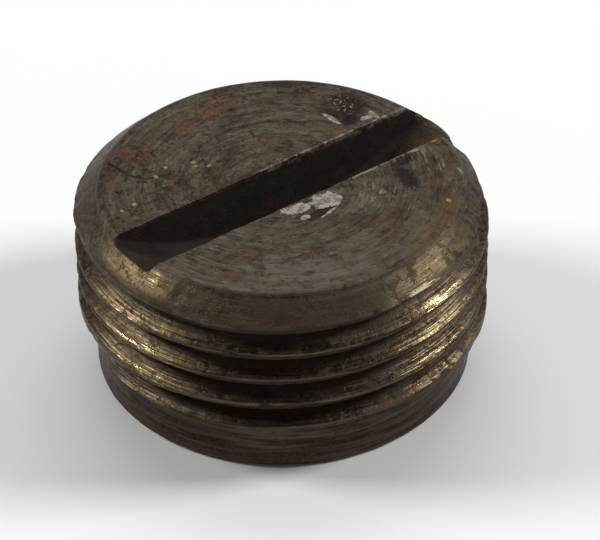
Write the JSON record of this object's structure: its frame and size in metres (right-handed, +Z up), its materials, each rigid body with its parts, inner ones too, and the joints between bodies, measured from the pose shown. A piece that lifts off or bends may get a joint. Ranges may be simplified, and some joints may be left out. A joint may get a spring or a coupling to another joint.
{
  "type": "slotted pipe plug",
  "caption": "Headless slotted screw plug with a male parallel thread, chamfered face and plain pilot, screwed in with a flat blade to stop a threaded port.",
  "frame": {"origin": "centre of the flat underside, on the thread axis", "axes": "+Z up the thread axis to the slotted face, X along the driver slot towards its end that breaks out through the chamfer"},
  "size_m": [0.02, 0.02, 0.0101],
  "materials": {
    "plug_steel": "turned carbon steel, dark with oil, lightly rusted, worn bright on the thread crests"
  },
  "bodies": {
    "root": {"slotted_plug": "plug_steel"}
  },
  "joints": []
}
